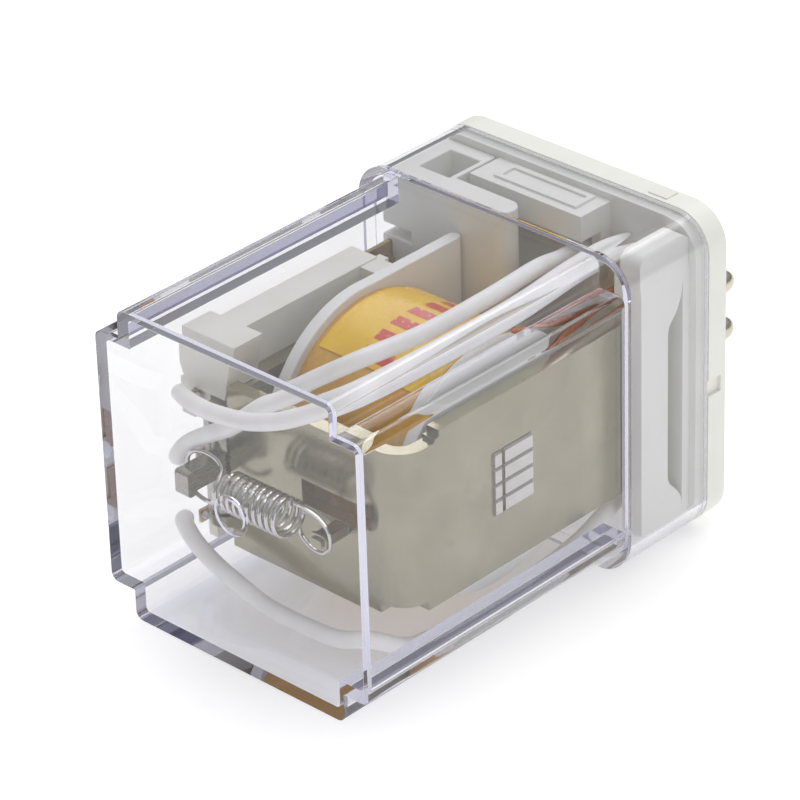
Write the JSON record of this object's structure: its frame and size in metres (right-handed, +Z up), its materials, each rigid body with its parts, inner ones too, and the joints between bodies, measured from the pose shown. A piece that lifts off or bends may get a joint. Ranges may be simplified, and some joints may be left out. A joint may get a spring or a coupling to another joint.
{
  "type": "plug-in relay",
  "caption": "Plug-in changeover relay with a clear clip-on cover, visible coil and clapper armature, round pin plug and a keyed centre spigot.",
  "frame": {"origin": "centre of the rear seating face, on the axis of the spigot and of the pin circle", "axes": "+Y along the relay towards the pins, +Z up with the relay lying on its side, +X towards the yoke side plate"},
  "size_m": [0.0354, 0.0646, 0.0355],
  "materials": {
    "clear_cover": "clear moulded polycarbonate, polished",
    "base_moulding": "off-white moulding, satin",
    "pin_metal": "dull nickel plate",
    "yoke_metal": "nickel-plated sheet, fine rolling lines",
    "core_metal": "stamped laminations",
    "copper": "bare copper",
    "bobbin_moulding": "white moulding, satin",
    "winding": "enamelled copper wire",
    "wrap_tape": "amber film tape",
    "label_tape": "yellow film tape",
    "enamel_wire": "enamelled wire",
    "pin_steel": "ground steel",
    "contact_brass": "rolled brass strip",
    "contact_silver": "silver alloy",
    "sleeve": "white sleeving",
    "armature_metal": "nickel-plated iron",
    "carrier_moulding": "cream moulding, satin",
    "rivet_metal": "plated rivet",
    "leaf_bronze": "phosphor bronze strip",
    "solder": "solder",
    "spring_steel": "plated spring wire"
  },
  "bodies": {
    "frame": {"base": "base_moulding", "contact_block": "base_moulding", "contact_pins": "pin_metal", "yoke": "yoke_metal", "core_laminations": "core_metal", "shading_ring": "copper", "bobbin": "bobbin_moulding", "coil_winding": "winding", "coil_wrap": "wrap_tape", "coil_label": "label_tape", "coil_leads": "enamel_wire", "hinge_pin": "pin_steel", "no_blades": "contact_brass", "no_contacts": "contact_silver", "nc_blades": "contact_brass", "nc_contacts": "contact_silver", "lead_top": "sleeve", "lead_middle": "sleeve", "lead_bottom": "sleeve", "return_spring": "spring_steel"},
    "armature": {"armature": "armature_metal", "contact_carrier": "carrier_moulding", "carrier_rivets": "rivet_metal", "moving_springs": "leaf_bronze", "moving_contacts": "contact_silver", "lead_joints": "solder"},
    "cover": {"cover": "clear_cover"}
  },
  "joints": [
    {"name": "armature_hinge", "type": "hinge", "parent": "frame", "child": "armature", "pos_m": [-0.0106, -0.0415, 0], "axis": [0, 0, -1], "range_deg": [0, 3], "stiffness_Nm_per_rad": 0.018, "springref_deg": -11.46, "deforming": ["return_spring"]},
    {"name": "cover_slide", "type": "slide", "parent": "frame", "child": "cover", "axis": [0, -1, 0], "range_m": [0, 0.06]}
  ]
}
